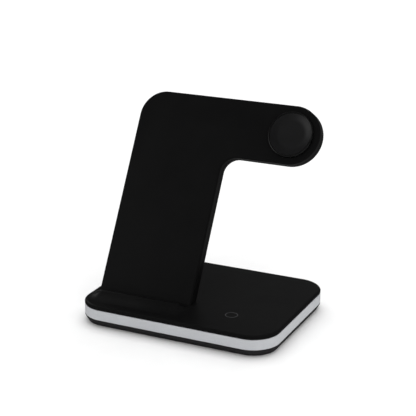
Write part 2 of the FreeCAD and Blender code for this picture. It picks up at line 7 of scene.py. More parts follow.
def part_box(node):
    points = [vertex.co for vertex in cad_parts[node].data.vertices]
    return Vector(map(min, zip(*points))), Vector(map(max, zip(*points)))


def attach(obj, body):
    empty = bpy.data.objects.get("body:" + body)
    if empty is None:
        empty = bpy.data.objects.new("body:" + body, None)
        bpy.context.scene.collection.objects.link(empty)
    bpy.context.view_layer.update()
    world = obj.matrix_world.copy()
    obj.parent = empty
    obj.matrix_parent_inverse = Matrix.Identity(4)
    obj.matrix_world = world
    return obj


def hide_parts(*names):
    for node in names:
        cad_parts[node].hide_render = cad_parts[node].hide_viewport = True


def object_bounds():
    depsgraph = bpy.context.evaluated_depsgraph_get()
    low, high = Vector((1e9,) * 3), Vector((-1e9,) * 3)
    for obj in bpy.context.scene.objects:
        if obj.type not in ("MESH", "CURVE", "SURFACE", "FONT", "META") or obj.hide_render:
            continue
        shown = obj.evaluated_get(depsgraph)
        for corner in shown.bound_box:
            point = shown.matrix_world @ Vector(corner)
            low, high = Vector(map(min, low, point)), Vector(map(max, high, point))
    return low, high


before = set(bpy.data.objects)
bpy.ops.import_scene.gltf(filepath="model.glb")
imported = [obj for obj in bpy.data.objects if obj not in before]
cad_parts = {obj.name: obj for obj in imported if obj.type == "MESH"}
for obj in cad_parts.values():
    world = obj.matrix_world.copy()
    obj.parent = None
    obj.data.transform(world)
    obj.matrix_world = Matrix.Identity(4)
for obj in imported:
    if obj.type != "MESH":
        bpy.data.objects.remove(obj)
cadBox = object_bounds()
mm = 0.001

# places read from the solids
halfX = cadBox[1].x
halfY = cadBox[1].y
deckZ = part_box("stand_front_shell")[0].z  # the plate is cut off level with the deck
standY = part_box("stand_front_shell")[0].y
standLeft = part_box("stand_front_shell")[0].x
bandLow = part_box("light_band")[0].z
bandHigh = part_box("light_band")[1].z
bandMid = (bandLow + bandHigh) / 2
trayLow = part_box("bottom_tray")[0].z
print("solids loaded")


def middleOf(node):
    low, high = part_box(node)
    return (low + high) / 2


# lines that meshes are drawn from
def evenSteps(start, end, count):  # both ends included
    return [start + (end - start) * k / count for k in range(count + 1)]


def arcLine(midX, midY, radius, start, end, steps):  # angles in degrees
    turns = [math.radians(angle) for angle in evenSteps(start, end, steps)]
    return [(midX + radius * math.cos(t), midY + radius * math.sin(t)) for t in turns]


def roundRing(radius, z, steps):
    turns = [2 * math.pi * k / steps for k in range(steps)]
    return [(radius * math.cos(t), radius * math.sin(t), z) for t in turns]


def roundOver(width, drop, steps, reach=90.0):  # (inset, drop left) from the outer side to the top
    turns = [math.radians(angle) for angle in evenSteps(0.0, reach, steps)]
    wide = 1 - math.cos(turns[-1])
    tall = math.sin(turns[-1])
    return [(width * (1 - math.cos(t)) / wide, drop * (1 - math.sin(t) / tall)) for t in turns]


# ways of making a mesh
meshing = {"merge": 0.001 * mm, "sharp": 32.0, "weight": 80}  # doubles, sharp edges, pull of broad faces


def bridge(mesh, loops, closed=False):  # quads from each loop of vertices to the next
    following = loops[1:] + (loops[:1] if closed else [])
    for near, far in zip(loops, following):
        for k in range(len(near)):
            m = (k + 1) % len(near)
            mesh.faces.new((near[k], near[m], far[m], far[k]))


def loft(rings, closed=False):
    mesh = bmesh.new()
    loops = [[mesh.verts.new(point) for point in ring] for ring in rings]
    bridge(mesh, loops, closed)
    if not closed:
        mesh.faces.new(list(reversed(loops[0])))
        mesh.faces.new(loops[-1])
    return mesh


def lathe(profile, steps):  # profile of (radius, height), both ends on the axis
    mesh = bmesh.new()
    first = mesh.verts.new((0, 0, profile[0][1]))
    last = mesh.verts.new((0, 0, profile[-1][1]))
    rings = [roundRing(radius, z, steps) for radius, z in profile[1:-1]]
    loops = [[mesh.verts.new(point) for point in ring] for ring in rings]
    bridge(mesh, loops)
    for k in range(steps):
        m = (k + 1) % steps
        mesh.faces.new((first, loops[0][m], loops[0][k]))
        mesh.faces.new((last, loops[-1][k], loops[-1][m]))
    return mesh


def addObject(name, data):
    made = bpy.data.objects.new(name, data)
    bpy.context.scene.collection.objects.link(made)
    return made


def toObject(mesh, name):
    data = bpy.data.meshes.new(name)
    mesh.to_mesh(data)
    mesh.free()
    return addObject(name, data)


def block(name, middle, half, low, high):  # square-cornered, between two heights
    corners = [(-1, -1), (1, -1), (1, 1), (-1, 1)]
    rings = [[(middle[0] + x * half[0], middle[1] + y * half[1], z) for x, y in corners]
             for z in (low, high)]
    return toObject(loft(rings), name)


def settle(made):  # modifiers become plain mesh
    bpy.context.view_layer.update()
    graph = bpy.context.evaluated_depsgraph_get()
    plain = bpy.data.meshes.new_from_object(made.evaluated_get(graph), depsgraph=graph)
    made.modifiers.clear()
    made.data = plain
    return made


def closeUp(made):  # doubles merged first, then every face turned outwards
    mesh = bmesh.new()
    mesh.from_mesh(made.data)
    bmesh.ops.remove_doubles(mesh, verts=mesh.verts, dist=meshing["merge"])
    bmesh.ops.recalc_face_normals(mesh, faces=mesh.faces)
    mesh.to_mesh(made.data)
    mesh.free()


def combine(made, operation, *others):  # UNION, DIFFERENCE or INTERSECT
    for solid in (made, *others):
        closeUp(solid)
    for other in others:
        cut = made.modifiers.new("combine", "BOOLEAN")
        cut.operation = operation
        cut.solver = "EXACT"
        cut.object = other
    settle(made)
    for other in others:
        bpy.data.objects.remove(other, do_unlink=True)
    return made


def smoothOff(made, sharpAngle=meshing["sharp"]):  # broad faces keep their own normals
    closeUp(made)
    for face in made.data.polygons:
        face.use_smooth = True
    made.data.set_sharp_from_angle(angle=math.radians(sharpAngle))
    weigh = made.modifiers.new("weigh", "WEIGHTED_NORMAL")
    weigh.keep_sharp = True
    weigh.weight = meshing["weight"]
    return settle(made)


# ribs, hooks and sockets of a shell's solid: cut just off its wall, then rooted in the wall
inside = {"skim": 0.02 * mm, "root": 0.3 * mm}


def insideOf(node, room, levels, sink, place=Matrix(), lowest=0.0):
    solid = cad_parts[node].data
    corners = [vertex.co for vertex in solid.vertices]
    data = bpy.data.meshes.new(node + "Inside")  # corners and faces only, with no normals of their own
    data.from_pydata(corners, [], [face.vertices[:] for face in solid.polygons])
    made = combine(addObject(data.name, data), "INTERSECT", room)
    unplace = place.inverted()
    for vertex in made.data.vertices:
        spot = unplace @ vertex.co
        if vertex.co.z > lowest and any(abs(spot.z - level) < inside["skim"] / 2 for level in levels):
            vertex.co = place @ (spot + Vector((0, 0, sink)))
    return made


def dress(made, finish, slotName, *nodes):
    made.data.materials.clear()
    made.data.materials.append(finish)
    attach(made, "root")
    if nodes:
        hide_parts(*nodes)
    return made


# ways of making a node tree
def newTree(name, kind, inputs, outputs):
    tree = bpy.data.node_groups.new(name, kind)
    for side, sockets in (("INPUT", inputs), ("OUTPUT", outputs)):
        for label, form in sockets.items():
            tree.interface.new_socket(label, in_out=side, socket_type="NodeSocket" + form)
    return tree, tree.nodes.new("NodeGroupInput"), tree.nodes.new("NodeGroupOutput")


def addNode(tree, kind, inputs, **settings):  # an input takes a plain value or another node's output
    node = tree.nodes.new(kind)
    for setting, value in settings.items():
        setattr(node, setting, value)
    for label, value in inputs.items():
        if isinstance(value, bpy.types.NodeSocket):
            tree.links.new(value, node.inputs[label])
        else:
            node.inputs[label].default_value = value
    return node


def mathNode(tree, operation, first, second):
    return addNode(tree, "ShaderNodeMath", {0: first, 1: second}, operation=operation).outputs[0]


# pebbled spark texture of a mould, with broad patches of sheen
mould = {"pebble": 0.6, "fine": 0.45, "patch": 0.55, "fineDetail": 3.0, "patchDetail": 2.0,
         "patchScale": 45.0, "toneFrom": (0.3, 0.7), "sheenFrom": (0.25, 0.75), "bump": 0.25,
         "depth": 0.02 * mm}


def makeMouldGrain():
    tree, given, put = newTree("mouldGrain", "ShaderNodeTree", {"Grain": "Float", "Patch": "Float"},
                               {"Height": "Float", "Tone": "Float", "Sheen": "Float"})
    where = tree.nodes.new("ShaderNodeTexCoord").outputs["Object"]
    pebble = addNode(tree, "ShaderNodeTexVoronoi", {"Vector": where, "Scale": given.outputs["Grain"]},
                     feature="SMOOTH_F1").outputs["Distance"]
    fine = addNode(tree, "ShaderNodeTexNoise", {"Vector": where, "Scale": given.outputs["Grain"],
                                                "Detail": mould["fineDetail"]}).outputs["Fac"]
    patch = addNode(tree, "ShaderNodeTexNoise", {"Vector": where, "Scale": given.outputs["Patch"],
                                                 "Detail": mould["patchDetail"]}).outputs["Fac"]
    height = mathNode(tree, "ADD", mathNode(tree, "MULTIPLY", pebble, mould["pebble"]), fine)
    tone = mathNode(tree, "ADD", mathNode(tree, "MULTIPLY", fine, mould["fine"]),
                    mathNode(tree, "MULTIPLY", patch, mould["patch"]))
    for label, source in {"Height": height, "Tone": tone, "Sheen": patch}.items():
        tree.links.new(source, put.inputs[label])
    return tree


mouldGrain = makeMouldGrain()


def makeFinish(name, look):
    finish = bpy.data.materials.new(name)
    finish.use_nodes = True
    tree = finish.node_tree
    shader = tree.nodes["Principled BSDF"]
    grain = addNode(tree, "ShaderNodeGroup", {
        "Grain": look["grain"], "Patch": look.get("patch", mould["patchScale"])}, node_tree=mouldGrain)
    tone = addNode(tree, "ShaderNodeValToRGB", {"Fac": grain.outputs["Tone"]})
    for k, colour in enumerate((look["dark"], look["light"])):
        tone.color_ramp.elements[k].position = mould["toneFrom"][k]
        tone.color_ramp.elements[k].color = (*colour, 1)
    sheen = addNode(tree, "ShaderNodeMapRange", {
        "Value": grain.outputs["Sheen"],
        "From Min": mould["sheenFrom"][0], "From Max": mould["sheenFrom"][1],
        "To Min": look["rough"][0], "To Max": look["rough"][1]})
    bump = addNode(tree, "ShaderNodeBump", {
        "Strength": look.get("bump", mould["bump"]), "Distance": mould["depth"],
        "Height": grain.outputs["Height"]})
    tree.links.new(tone.outputs["Color"], shader.inputs["Base Color"])
    tree.links.new(sheen.outputs["Result"], shader.inputs["Roughness"])
    tree.links.new(bump.outputs["Normal"], shader.inputs["Normal"])
    for socket, value in look.get("sockets", {}).items():
        shader.inputs[socket].default_value = value
    return finish


looks = {
    "softBlack": {"dark": (0.0042, 0.0042, 0.0043), "light": (0.0056, 0.0056, 0.0057),
                  "rough": (0.36, 0.42), "grain": 2600.0, "sockets": {"Specular IOR Level": 0.08}},
    "trayBlack": {"dark": (0.0205, 0.0196, 0.0206), "light": (0.0255, 0.0242, 0.0255),
                  "rough": (0.46, 0.56), "grain": 1900.0, "bump": 0.35,
                  "sockets": {"Specular IOR Level": 0.16}},
    "milkyWhite": {"dark": (0.53, 0.542, 0.562), "light": (0.59, 0.602, 0.622),
                   "rough": (0.30, 0.40), "grain": 1500.0, "bump": 0.08,
                   "sockets": {"Subsurface Weight": 0.35, "Subsurface Radius": (0.004, 0.004, 0.004),
                               "Subsurface Scale": 0.4}},
    "footRubber": {"dark": (0.008, 0.008, 0.008), "light": (0.016, 0.016, 0.016),
                   "rough": (0.75, 0.9), "grain": 1400.0, "bump": 0.5,
                   "sockets": {"Specular IOR Level": 0.25}},
    "polishedBlack": {"dark": (0.004, 0.004, 0.004), "light": (0.006, 0.006, 0.006),
                      "rough": (0.12, 0.2), "grain": 900.0, "bump": 0.04,
                      "sockets": {"Specular IOR Level": 0.45}},
    "dishBlack": {"dark": (0.0060, 0.0060, 0.0064), "light": (0.0090, 0.0090, 0.0096),
                  "rough": (0.34, 0.42), "grain": 3000.0, "bump": 0.15,
                  "sockets": {"Specular IOR Level": 0.40}},
    "printGrey": {"dark": (0.032, 0.032, 0.034), "light": (0.046, 0.046, 0.048),
                  "rough": (0.42, 0.55), "grain": 3200.0, "bump": 0.1},
    "copperWire": {"dark": (0.50, 0.19, 0.08), "light": (0.66, 0.29, 0.14),
                   "rough": (0.26, 0.38), "grain": 1700.0, "bump": 0.1, "sockets": {"Metallic": 1.0}},
    "ferriteGrey": {"dark": (0.020, 0.020, 0.021), "light": (0.045, 0.045, 0.047),
                    "rough": (0.6, 0.75), "grain": 1300.0, "bump": 0.4},
    "carrierPlastic": {"dark": (0.44, 0.43, 0.40), "light": (0.52, 0.51, 0.48),
                       "rough": (0.45, 0.55), "grain": 1600.0},
    "magnetNickel": {"dark": (0.46, 0.45, 0.43), "light": (0.58, 0.57, 0.55),
                     "rough": (0.18, 0.3), "grain": 1100.0, "bump": 0.1, "sockets": {"Metallic": 1.0}},
    "boardGreen": {"dark": (0.004, 0.055, 0.026), "light": (0.008, 0.085, 0.042),
                   "rough": (0.25, 0.35), "grain": 700.0, "patch": 420.0},
    "chipBlack": {"dark": (0.010, 0.010, 0.010), "light": (0.018, 0.018, 0.018),
                  "rough": (0.5, 0.6), "grain": 2800.0},
    "chokeGrey": {"dark": (0.05, 0.05, 0.053), "light": (0.10, 0.10, 0.105),
                  "rough": (0.55, 0.7), "grain": 1500.0, "bump": 0.5},
    "capacitorTan": {"dark": (0.26, 0.17, 0.09), "light": (0.36, 0.25, 0.14),
                     "rough": (0.4, 0.5), "grain": 1900.0},
    "socketWhite": {"dark": (0.55, 0.53, 0.47), "light": (0.65, 0.63, 0.57),
                    "rough": (0.4, 0.5), "grain": 1700.0},
    "stripWhite": {"dark": (0.60, 0.60, 0.57), "light": (0.70, 0.70, 0.67),
                   "rough": (0.4, 0.5), "grain": 1500.0},
    "lampYellow": {"dark": (0.62, 0.50, 0.13), "light": (0.78, 0.66, 0.24),
                   "rough": (0.15, 0.25), "grain": 1200.0},
    "touchFoil": {"dark": (0.50, 0.22, 0.10), "light": (0.62, 0.31, 0.16),
                  "rough": (0.22, 0.34), "grain": 1000.0, "sockets": {"Metallic": 1.0}},
    "inletSteel": {"dark": (0.42, 0.42, 0.43), "light": (0.56, 0.56, 0.57),
                   "rough": (0.22, 0.36), "grain": 2400.0, "bump": 0.12, "sockets": {"Metallic": 1.0}},
    "inletBlack": {"dark": (0.006, 0.006, 0.006), "light": (0.010, 0.010, 0.010),
                   "rough": (0.4, 0.52), "grain": 2600.0},
    "contactGold": {"dark": (0.60, 0.36, 0.10), "light": (0.76, 0.50, 0.18),
                    "rough": (0.18, 0.28), "grain": 2000.0, "bump": 0.06, "sockets": {"Metallic": 1.0}},
    "leadGrey": {"dark": (0.030, 0.030, 0.033), "light": (0.050, 0.050, 0.054),
                 "rough": (0.5, 0.62), "grain": 1500.0},
}
finishes = {name: makeFinish(name, look) for name, look in looks.items()}
print("finishes made:", len(finishes))

# outlines of base, stand and inlet
base = {"corner": 18.5 * mm, "steps": 20, "slotSteps": 14}
centreX = halfX - base["corner"]
centreY = halfY - base["corner"]


def baseRing(inset, z):
    points = []
    for quarter, (sideX, sideY) in enumerate([(1, -1), (1, 1), (-1, 1), (-1, -1)]):
        points += arcLine(sideX * centreX, sideY * centreY, base["corner"] - inset,
                          90 * (quarter - 1), 90 * quarter, base["steps"])
    return [(x, y, z) for x, y in points]


stand = {"lean": 29.3, "width": 68.0 * mm, "rise": 141.7 * mm, "thick": 8.6 * mm, "split": 4.2 * mm,
         "wall": 1.8 * mm, "corner": 18.0 * mm, "armHeight": 39.7 * mm, "armReach": 44.4 * mm,
         "fillet": 10.5 * mm, "steps": 24}
standRight = standLeft + stand["width"]
backWall = stand["wall"] - stand["thick"]  # inner face of the stand's back
puckX = standRight + stand["armReach"]
puckRise = stand["rise"] - stand["armHeight"] / 2
leanBack = Matrix.Rotation(math.radians(90 - stand["lean"]), 4, "X")
standPlace = Matrix.Translation((0, standY, deckZ)) @ leanBack
puckPlace = standPlace @ Matrix.Translation((puckX, puckRise, 0))


def standRing(inset, z):  # drawn flat, front face at height 0, then leaned back
    left = standLeft + inset
    right = standRight - inset
    top = stand["rise"] - inset
    low = stand["rise"] - stand["armHeight"] + inset
    foot = inset / 2 - stand["thick"]
    fillet = stand["fillet"] + inset
    corner = stand["corner"] - inset
    points = [(left, foot), (right, foot)]
    points += arcLine(right + fillet, low - fillet, fillet, 180, 90, stand["steps"])
    points += arcLine(puckX, puckRise, stand["armHeight"] / 2 - inset, -90, 90, 2 * stand["steps"])
    points += arcLine(left + corner, top - corner, corner, 90, 180, stand["steps"])
    return [standPlace @ Vector((x, y, z)) for x, y in points]


def slotRing(width, height, y):  # round-ended slot across the back
    half = width / 2 - height / 2
    points = arcLine(half, bandMid, height / 2, -90, 90, base["slotSteps"])
    points += arcLine(-half, bandMid, height / 2, 90, 270, base["slotSteps"])
    return [(x, y, z) for x, z in points]


# deck cover with its ledge, one skin
cover = {"edgeWidth": 1.6 * mm, "edgeDrop": 1.3 * mm, "edgeSteps": 8, "edgeReach": 72.0,
         "seamStep": 0.4 * mm, "seamRecess": 0.6 * mm, "lipRound": 0.12 * mm, "hollow": 3.1 * mm,
         "wall": 2.0 * mm, "rowPitch": 0.55 * mm, "rowDigits": 7, "columnPitch": 1.3 * mm,
         "finePitch": 0.4 * mm, "fineRuns": 1.5, "holeLength": 52.2 * mm, "holeDepth": 6.8 * mm,
         "sharp": 24.0}
ledge = {"height": 3.6 * mm, "crest": 4.0 * mm, "run": 12.3 * mm, "footAngle": 5.0, "leftRun": 6.5 * mm,
         "leftPast": 1.0 * mm, "ridgeSoft": 0.2, "footSoft": 0.1, "rightRun": 8.5 * mm, "overrun": 2.0 * mm}


def ledgeProfile():  # the same arcs as the solid: seat, crest, hollow front
    lean = math.radians(stand["lean"])
    foot = math.radians(ledge["footAngle"])
    crest = ledge["crest"]
    crestZ = ledge["height"] - crest
    seat = (ledge["height"] - crest * (1 - math.cos(lean))) / math.sin(lean)
    crestY = standY - seat * math.cos(lean) - crest * math.sin(lean)
    footY = crestY - ledge["run"]
    reach = ledge["run"] ** 2 + crestZ ** 2 - crest ** 2
    hollow = reach / 2 / (crest - ledge["run"] * math.sin(foot) + crestZ * math.cos(foot))
    hollowY = footY - hollow * math.sin(foot)
    hollowZ = hollow * math.cos(foot)
    meet = math.atan2(crestY - hollowY, hollowZ - crestZ)
    meetY = crestY - crest * math.sin(meet)
    seatY = crestY + crest * math.sin(lean)

    def heightAt(y):
        if y <= footY or y >= standY:
            return 0.0
        if y < meetY:
            return hollowZ - math.sqrt(hollow ** 2 - (y - hollowY) ** 2)
        if y < seatY:
            return crestZ + math.sqrt(crest ** 2 - (y - crestY) ** 2)
        return (standY - y) * math.tan(lean)

    return heightAt, footY, crestY


ledgeHeight, ledgeFootY, crestY = ledgeProfile()
ledgeRight = standRight + ledge["overrun"] - ledge["rightRun"]  # where the crest starts to fall away


def leftShare(x):  # a slope with a softened ridge above and a softened foot
    past = (x - standLeft + ledge["leftPast"]) / ledge["leftRun"] - 1
    slope = 1 + (past - math.sqrt(past ** 2 + ledge["ridgeSoft"] ** 2)) / 2
    return (slope + math.sqrt(slope ** 2 + ledge["footSoft"] ** 2)) / 2


def deckHeight(x, y):
    if ledgeHeight(y) <= 0:
        return deckZ
    beyond = (x - ledgeRight) * ledge["run"] / ledge["rightRun"]
    if beyond <= 0:
        return deckZ + ledgeHeight(y) * min(1.0, leftShare(x))
    if y < crestY:  # the front slope sweeps round the end of the crest
        return deckZ + ledgeHeight(crestY - math.hypot(crestY - y, beyond))
    return deckZ + ledgeHeight(y) * ledgeHeight(crestY - beyond) / ledge["height"]


def deckRows():  # along the corners' arcs, evenly between them, and closer on the ledge
    arcs = [y for x, y in arcLine(0, centreY, base["corner"] - cover["edgeWidth"], 0, 90, base["steps"])]
    plain = evenSteps(-centreY, centreY, round(centreY / cover["rowPitch"]))
    close = evenSteps(ledgeFootY, standY, round((standY - ledgeFootY) / cover["rowPitch"]))
    rows = arcs + [-y for y in arcs] + plain + close
    return sorted({round(y, cover["rowDigits"]) for y in rows})


def deckColumns(half):  # close together at the ledge's two ends
    stretches = [(standLeft + cover["fineRuns"] * ledge["leftRun"], cover["finePitch"]),
                 (ledgeRight - cover["columnPitch"], cover["columnPitch"]),
                 (standRight + ledge["overrun"] + cover["columnPitch"], cover["finePitch"]),
                 (half, cover["columnPitch"])]
    start = -half
    places = [start]
    for end, pitch in stretches:
        places += evenSteps(start, end, math.ceil((end - start) / pitch))[1:]
        start = end
    return [x / half for x in places]


def coverEdge():  # (inset, height) from the deck's rim, round and down, then up into the hollow
    turn = roundOver(cover["edgeWidth"], cover["edgeDrop"], cover["edgeSteps"], cover["edgeReach"])
    seam = bandHigh + cover["seamStep"]
    edge = [(inset, deckZ - drop) for inset, drop in turn[-2::-1]]
    edge += [(0.0, seam + cover["lipRound"]), (cover["lipRound"], seam), (cover["seamRecess"], seam)]
    edge += [(cover["seamRecess"], bandHigh), (cover["hollow"], bandHigh),
             (cover["hollow"], deckZ - cover["wall"])]
    return edge


def rimLoop(mesh, rim, inset, z):  # the rim's vertices again, on an inset of the base's outline
    loop = []
    for vertex in rim:
        nearX = max(-centreX, min(centreX, vertex.co.x))
        nearY = max(-centreY, min(centreY, vertex.co.y))
        near = Vector((nearX, nearY))
        out = (vertex.co.xy - near).normalized() * (base["corner"] - inset)
        loop.append(mesh.verts.new((near.x + out.x, near.y + out.y, z)))
    return loop


def plugHole():  # where the stand's foot goes through the deck
    across = stand["thick"] / math.cos(math.radians(stand["lean"]))  # of the leaning stand, at deck level
    middle = (standLeft + stand["width"] / 2, standY + across / 2)
    half = (cover["holeLength"] / 2, cover["holeDepth"] / 2)
    return block("plugHole", middle, half, deckZ - 2 * cover["wall"], deckZ + cover["wall"])


def makeDeckCover():
    mesh = bmesh.new()
    bend = base["corner"] - cover["edgeWidth"]
    shares = deckColumns(centreX + bend)
    grid = []
    for y in deckRows():
        past = max(0.0, abs(y) - centreY)
        half = centreX + math.sqrt(max(0.0, bend ** 2 - past ** 2))
        grid.append([mesh.verts.new((half * share, y, deckHeight(half * share, y))) for share in shares])
    for near, far in zip(grid, grid[1:]):
        for k in range(len(shares) - 1):
            mesh.faces.new((near[k], near[k + 1], far[k + 1], far[k]))
    rightSide = [row[-1] for row in grid[1:-1]]
    leftSide = [row[0] for row in grid[-2:0:-1]]
    rim = grid[0] + rightSide + grid[-1][::-1] + leftSide
    loops = [rim] + [rimLoop(mesh, rim, inset, z) for inset, z in coverEdge()]
    bridge(mesh, loops)
    mesh.faces.new(loops[-1])
    made = toObject(mesh, "deckCover")
    under = deckZ - cover["wall"] - inside["skim"]
    room = loft([baseRing(cover["hollow"] + inside["skim"], z) for z in (0.0, under)])
    combine(made, "UNION", insideOf("top_cover", toObject(room, "room"), [under], inside["root"]))
    combine(made, "DIFFERENCE", plugHole())
    return smoothOff(made, cover["sharp"])


dress(makeDeckCover(), finishes["softBlack"], "cover_black", "top_cover")
print("deck cover made")

# touch key: a plain ring printed on the deck
touchKey = {"radius": 4.2 * mm, "line": 0.55 * mm, "proud": 0.04 * mm, "steps": 96}


def makeTouchRing():
    middle = middleOf("touch_pad")
    inner = touchKey["radius"] - touchKey["line"]
    top = deckZ + touchKey["proud"]
    section = [(inner, deckZ), (inner, top), (touchKey["radius"], top), (touchKey["radius"], deckZ)]
    rings = [[(middle.x + x, middle.y + y, z) for x, y, z in roundRing(radius, height, touchKey["steps"])]
             for radius, height in section]
    return smoothOff(toObject(loft(rings, closed=True), "touchRing"))


dress(makeTouchRing(), finishes["printGrey"], "cover_black")

# light band
band = {"wall": 3.0 * mm, "round": 0.3 * mm, "roundSteps": 4, "doorWidth": 11.64 * mm,
        "doorHeight": 5.96 * mm}


def makeLightBand():
    turn = roundOver(band["round"], band["round"], band["roundSteps"])
    section = [(band["wall"], bandLow)] + [(inset, bandLow + drop) for inset, drop in turn[::-1]]
    section += [(inset, bandHigh - drop) for inset, drop in turn] + [(band["wall"], bandHigh)]
    made = toObject(loft([baseRing(inset, z) for inset, z in section], closed=True), "lightBand")
    door = loft([slotRing(band["doorWidth"], band["doorHeight"], halfY + side * 2 * band["wall"])
                 for side in (-1, 1)])
    return smoothOff(combine(made, "DIFFERENCE", toObject(door, "door")))


dress(makeLightBand(), finishes["milkyWhite"], "band_white", "light_band")

# bottom tray
tray = {"taper": 2.2 * mm, "seamStep": 0.4 * mm, "seamRecess": 0.6 * mm, "floor": 1.8 * mm,
        "inside": 4.4 * mm, "footRound": 0.2 * mm, "rimRound": 0.15 * mm}


def makeTray():
    rim = bandLow - tray["seamStep"]
    section = [(tray["inside"], trayLow + tray["floor"]), (tray["inside"], bandLow),
               (tray["seamRecess"], bandLow), (tray["seamRecess"], rim),
               (tray["rimRound"], rim), (0.0, rim - tray["rimRound"]),
               (tray["taper"] - tray["footRound"] / 2, trayLow + tray["footRound"]),
               (tray["taper"] + tray["footRound"] / 4, trayLow + tray["footRound"] / 4),
               (tray["taper"] + tray["footRound"], trayLow)]
    made = toObject(loft([baseRing(inset, z) for inset, z in section]), "baseTray")
    floorTop = trayLow + tray["floor"] + inside["skim"]
    wallTop = bandLow + inside["skim"]
    innerEdge = tray["inside"] + inside["skim"]
    hollow = [(innerEdge, floorTop), (innerEdge, wallTop), (band["wall"], wallTop), (band["wall"], deckZ)]
    room = toObject(loft([baseRing(inset, z) for inset, z in hollow]), "room")
    ribs = insideOf("bottom_tray", room, [floorTop, wallTop], -inside["root"])
    return smoothOff(combine(made, "UNION", ribs))


dress(makeTray(), finishes["trayBlack"], "tray_black", "bottom_tray")
print("base shells made")

# leaning stand, front and rear shells
shell = {"frontRound": 1.1 * mm, "rearRound": 1.4 * mm, "roundSteps": 8, "groove": 0.14 * mm,
         "lipGap": 0.1 * mm, "lipWall": 1.0 * mm, "lipHeight": 1.2 * mm, "boreRadius": 15.5 * mm,
         "boreSteps": 96, "cutReach": 3}


def belowDeck(top):  # a block wider than the stand, to cut it off level
    reach = shell["cutReach"] * halfX
    return block("belowDeck", (0, 0), (reach, reach), top - reach, top)


def makeFrontShell():
    split = -stand["split"]
    lipOut = stand["wall"] + shell["lipGap"]
    lipIn = lipOut + shell["lipWall"]
    lipEnd = split - shell["lipHeight"]
    section = [(lipIn, -stand["wall"]), (lipIn, lipEnd), (lipOut, lipEnd), (lipOut, split),
               (shell["groove"], split), (0.0, split + shell["groove"])]
    turn = roundOver(shell["frontRound"], shell["frontRound"], shell["roundSteps"])
    section += [(inset, -drop) for inset, drop in turn]
    made = toObject(loft([standRing(inset, z) for inset, z in section]), "standFront")
    bore = [[puckPlace @ Vector(point) for point in roundRing(shell["boreRadius"], z, shell["boreSteps"])]
            for z in (-stand["thick"], stand["thick"])]
    return smoothOff(combine(made, "DIFFERENCE", belowDeck(deckZ), toObject(loft(bore), "bore")))


def makeRearShell():
    split = -stand["split"]
    section = [(stand["wall"], backWall), (stand["wall"], split), (shell["groove"], split),
               (0.0, split - shell["groove"])]
    turn = roundOver(shell["rearRound"], shell["rearRound"], shell["roundSteps"])
    section += [(inset, drop - stand["thick"]) for inset, drop in turn]
    made = toObject(loft([standRing(inset, z) for inset, z in section]), "standRear")
    combine(made, "DIFFERENCE", belowDeck(deckZ))
    wallTop = backWall + inside["skim"]
    room = toObject(loft([standRing(stand["wall"] + inside["skim"], z) for z in (wallTop, 0.0)]), "room")
    combine(room, "UNION", belowDeck(deckZ - inside["skim"]))
    ribs = insideOf("stand_rear_shell", room, [wallTop], -inside["root"], standPlace,
                    deckZ + inside["skim"])
    return smoothOff(combine(made, "UNION", ribs))


dress(makeFrontShell(), finishes["softBlack"], "stand_black", "stand_front_shell")
dress(makeRearShell(), finishes["softBlack"], "stand_black", "stand_rear_shell")
print("stand made")

# charging puck
puck = {"radius": 15.4 * mm, "proud": 2.2 * mm, "edgeRound": 0.7 * mm, "wall": 1.1 * mm, "floor": 1.0 * mm,
        "dishDrop": 0.2 * mm, "dishDepth": 1.2 * mm, "dishFlat": 10.5 * mm, "dishSoft": 0.5,
        "dishThick": 1.1 * mm, "gap": 0.1 * mm, "lip": 0.15 * mm, "steps": 128, "edgeSteps": 6,
        "dishSteps": 18}


def turnOnArm(name, profile):
    made = toObject(lathe(profile, puck["steps"]), name)
    made.data.transform(puckPlace)
    return smoothOff(made)


def makePuckCup():
    inner = puck["radius"] - puck["wall"]
    floorTop = backWall + puck["floor"]
    turn = roundOver(puck["edgeRound"], puck["edgeRound"], puck["edgeSteps"])
    profile = [(0, backWall), (puck["radius"], backWall)]
    profile += [(puck["radius"] - inset, puck["proud"] - drop) for inset, drop in turn]
    profile += [(inner, puck["proud"] - puck["lip"]), (inner, floorTop), (0, floorTop)]
    return turnOnArm("puckCup", profile)


def makePuckDish():
    radius = puck["radius"] - puck["wall"] - puck["gap"]
    top = puck["proud"] - puck["dishDrop"]
    bottom = top - puck["dishDepth"]
    low = bottom - puck["dishThick"]
    soft = puck["dishSoft"] * (radius - puck["dishFlat"])  # the cone turns into the flat over this length
    rise = puck["dishSoft"] * puck["dishDepth"]
    profile = [(0, low), (radius, low), (radius, top - puck["lip"]),
               (radius - puck["lip"], top - puck["lip"] / 3)]
    for k in range(puck["dishSteps"] + 1):
        share = 1 - k / puck["dishSteps"]
        profile.append((puck["dishFlat"] - soft + 2 * soft * share, bottom + rise * share ** 2))
    profile.append((0, bottom))
    return turnOnArm("puckDish", profile)


dress(makePuckCup(), finishes["polishedBlack"], "puck_black", "puck_cup")
dress(makePuckDish(), finishes["dishBlack"], "dish_black", "puck_dish")
print("puck made")


# geometry trees for what repeats
def startTree(name, inputs):
    return newTree(name, "GeometryNodeTree", {"Geometry": "Geometry", **inputs, "Finish": "Material"},
                   {"Geometry": "Geometry"})


def endTree(tree, given, put, source):
    real = addNode(tree, "GeometryNodeRealizeInstances", {"Geometry": source})
    coat = addNode(tree, "GeometryNodeSetMaterial", {
        "Geometry": real.outputs["Geometry"], "Material": given.outputs["Finish"]})
    tree.links.new(coat.outputs["Geometry"], put.inputs["Geometry"])
    return tree


def growPiece(name, tree, values):
    made = addObject(name, bpy.data.meshes.new(name))
    grow = made.modifiers.new("grow", "NODES")
    grow.node_group = tree
    sockets = {item.name: item.identifier for item in tree.interface.items_tree if item.in_out == "INPUT"}
    for label, value in values.items():
        grow[sockets[label]] = value
    return settle(made)


